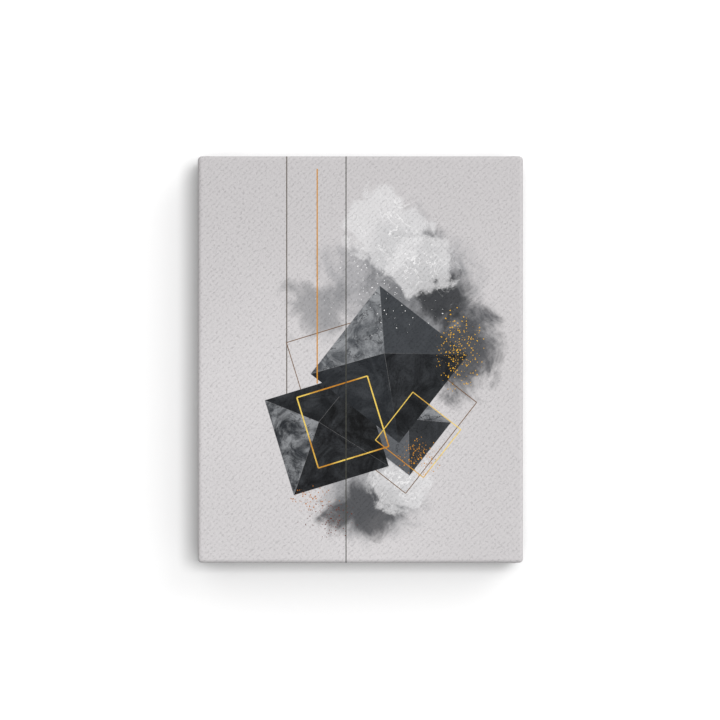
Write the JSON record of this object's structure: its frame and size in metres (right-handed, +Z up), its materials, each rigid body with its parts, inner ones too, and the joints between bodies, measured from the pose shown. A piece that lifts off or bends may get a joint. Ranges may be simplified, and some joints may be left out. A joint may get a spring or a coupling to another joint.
{
  "type": "stretched canvas",
  "caption": "Gallery-wrapped painted canvas on a keyed pine stretcher frame, with folded corners, stapled back, sawtooth hanger and wall bumpers",
  "frame": {"origin": "below the middle of the whole object, on the surface its bottom side stands on; y is 0 halfway between the painted face and the back of the bumpers", "axes": "+Z up, along the 254 mm height; the painted face looks along -Y; +X to the right as one looks at the painted face"},
  "size_m": [0.2032, 0.041, 0.254],
  "materials": {
    "printed_canvas": "matte primed cotton, plain weave",
    "pine": "planed, unvarnished",
    "key_wood": "sawn, unvarnished",
    "staple_steel": "galvanised wire",
    "hanger_steel": "zinc-plated",
    "nail_steel": "zinc-plated",
    "bumper_rubber": "soft matte"
  },
  "bodies": {
    "cloth": {"canvas": "printed_canvas", "left_bumper": "bumper_rubber", "right_bumper": "bumper_rubber"},
    "top_bar": {"top_bar": "pine", "top_staples": "staple_steel", "sawtooth_hanger": "hanger_steel", "hanger_nails": "nail_steel"},
    "right_bar": {"right_bar": "pine", "right_staples": "staple_steel"},
    "bottom_bar": {"bottom_bar": "pine", "bottom_staples": "staple_steel"},
    "left_bar": {"left_bar": "pine", "left_staples": "staple_steel"},
    "top_bar_key_left": {"top_bar_key_left": "key_wood"},
    "top_bar_key_right": {"top_bar_key_right": "key_wood"},
    "right_bar_key_top": {"right_bar_key_top": "key_wood"},
    "right_bar_key_bottom": {"right_bar_key_bottom": "key_wood"},
    "bottom_bar_key_right": {"bottom_bar_key_right": "key_wood"},
    "bottom_bar_key_left": {"bottom_bar_key_left": "key_wood"},
    "left_bar_key_bottom": {"left_bar_key_bottom": "key_wood"},
    "left_bar_key_top": {"left_bar_key_top": "key_wood"}
  },
  "joints": [
    {"name": "top_bar_slide", "type": "slide", "parent": "cloth", "child": "top_bar", "axis": [0, 0, -1], "range_m": [0, 0.0009]},
    {"name": "right_bar_slide", "type": "slide", "parent": "cloth", "child": "right_bar", "axis": [-1, 0, 0], "range_m": [0, 0.0009]},
    {"name": "bottom_bar_slide", "type": "slide", "parent": "cloth", "child": "bottom_bar", "axis": [0, 0, 1], "range_m": [0, 0.0009]},
    {"name": "left_bar_slide", "type": "slide", "parent": "cloth", "child": "left_bar", "axis": [1, 0, 0], "range_m": [0, 0.0009]},
    {"name": "top_bar_key_left_slide", "type": "slide", "parent": "top_bar", "child": "top_bar_key_left", "axis": [1, 0, 0], "range_m": [0, 0.0054]},
    {"name": "top_bar_key_right_slide", "type": "slide", "parent": "top_bar", "child": "top_bar_key_right", "axis": [-1, 0, 0], "range_m": [0, 0.0054]},
    {"name": "right_bar_key_top_slide", "type": "slide", "parent": "right_bar", "child": "right_bar_key_top", "axis": [0, 0, -1], "range_m": [0, 0.0054]},
    {"name": "right_bar_key_bottom_slide", "type": "slide", "parent": "right_bar", "child": "right_bar_key_bottom", "axis": [0, 0, 1], "range_m": [0, 0.0054]},
    {"name": "bottom_bar_key_right_slide", "type": "slide", "parent": "bottom_bar", "child": "bottom_bar_key_right", "axis": [-1, 0, 0], "range_m": [0, 0.0054]},
    {"name": "bottom_bar_key_left_slide", "type": "slide", "parent": "bottom_bar", "child": "bottom_bar_key_left", "axis": [1, 0, 0], "range_m": [0, 0.0054]},
    {"name": "left_bar_key_bottom_slide", "type": "slide", "parent": "left_bar", "child": "left_bar_key_bottom", "axis": [0, 0, 1], "range_m": [0, 0.0054]},
    {"name": "left_bar_key_top_slide", "type": "slide", "parent": "left_bar", "child": "left_bar_key_top", "axis": [0, 0, -1], "range_m": [0, 0.0054]}
  ],
  "couplings": [
    {"joint": "bottom_bar_slide", "follows": "top_bar_slide", "ratio": 1},
    {"joint": "left_bar_slide", "follows": "right_bar_slide", "ratio": 1},
    {"joint": "top_bar_key_left_slide", "follows": "top_bar_slide", "ratio": 6},
    {"joint": "top_bar_key_right_slide", "follows": "top_bar_slide", "ratio": 6},
    {"joint": "right_bar_key_top_slide", "follows": "right_bar_slide", "ratio": 6},
    {"joint": "right_bar_key_bottom_slide", "follows": "right_bar_slide", "ratio": 6},
    {"joint": "bottom_bar_key_right_slide", "follows": "top_bar_slide", "ratio": 6},
    {"joint": "bottom_bar_key_left_slide", "follows": "top_bar_slide", "ratio": 6},
    {"joint": "left_bar_key_bottom_slide", "follows": "right_bar_slide", "ratio": 6},
    {"joint": "left_bar_key_top_slide", "follows": "right_bar_slide", "ratio": 6}
  ]
}
